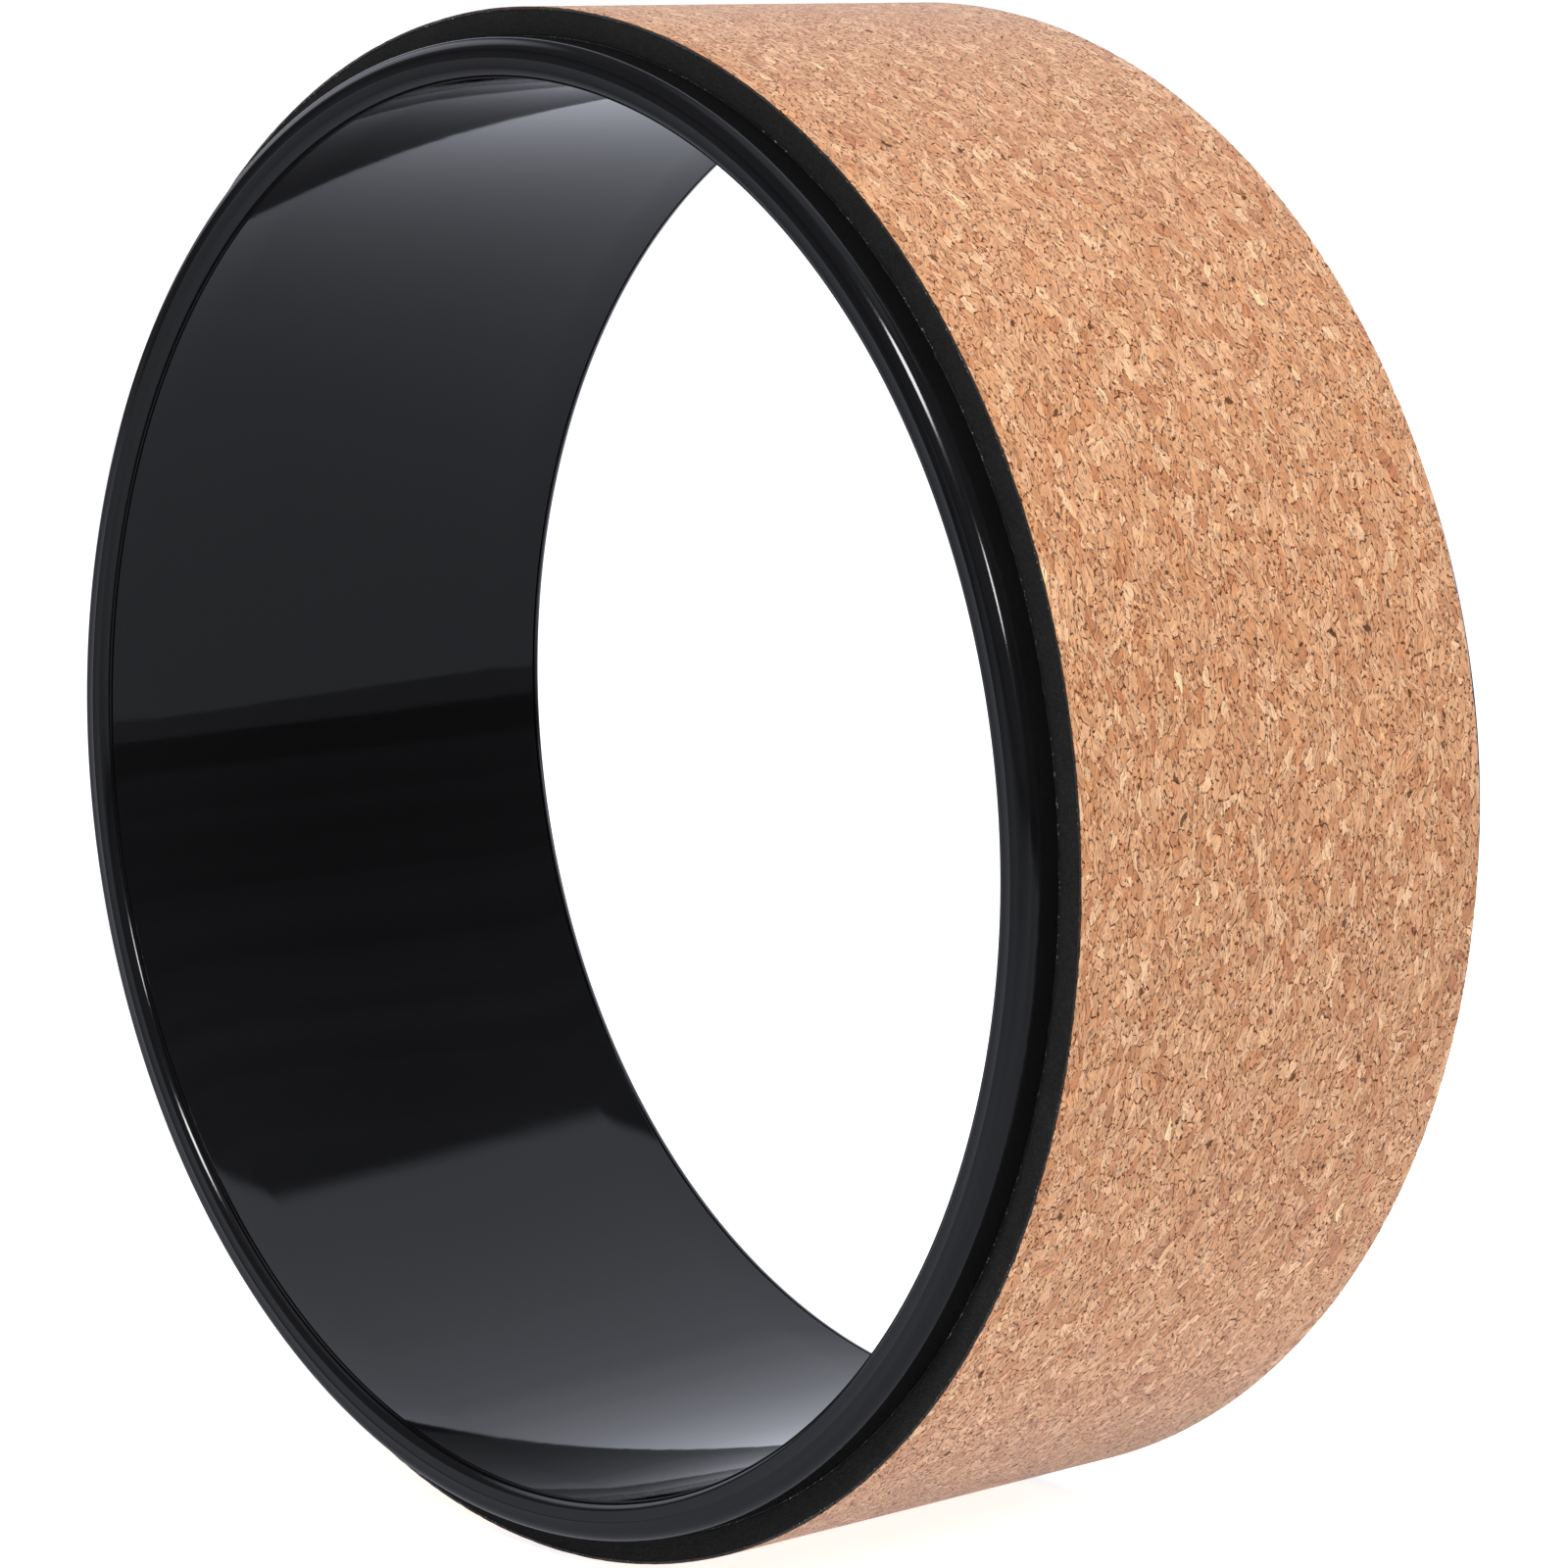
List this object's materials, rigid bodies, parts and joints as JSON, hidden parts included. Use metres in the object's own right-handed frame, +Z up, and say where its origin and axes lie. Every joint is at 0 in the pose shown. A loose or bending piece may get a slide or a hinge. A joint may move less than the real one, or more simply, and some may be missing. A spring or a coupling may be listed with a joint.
{
  "type": "yoga wheel",
  "caption": "Yoga wheel: a wide rigid hoop with rounded end caps, wrapped in foam and a cork sheet, to support the back while stretching and to roll on the floor",
  "frame": {"origin": "centre of the wheel, half way along its axis", "axes": "+Y along the wheel's axis towards the rear end, +Z up with the wheel standing on its tread, +X the way it rolls"},
  "size_m": [0.3304, 0.13, 0.3304],
  "materials": {
    "gloss_black": "high-gloss black plastic",
    "cap_black": "gloss black moulded plastic",
    "foam_black": "matt black closed-cell foam with cut edges",
    "cork": "agglomerated cork, bare, with dark and pale flecks",
    "glue_film": "smoky clear adhesive film"
  },
  "bodies": {
    "root": {"core_tube": "gloss_black", "front_edge_cap": "cap_black", "rear_edge_cap": "cap_black", "front_cap_glue": "glue_film", "rear_cap_glue": "glue_film", "foam_tape": "glue_film", "foam_pad": "foam_black", "cork_glue_film": "glue_film", "cork_cover": "cork"}
  },
  "joints": []
}
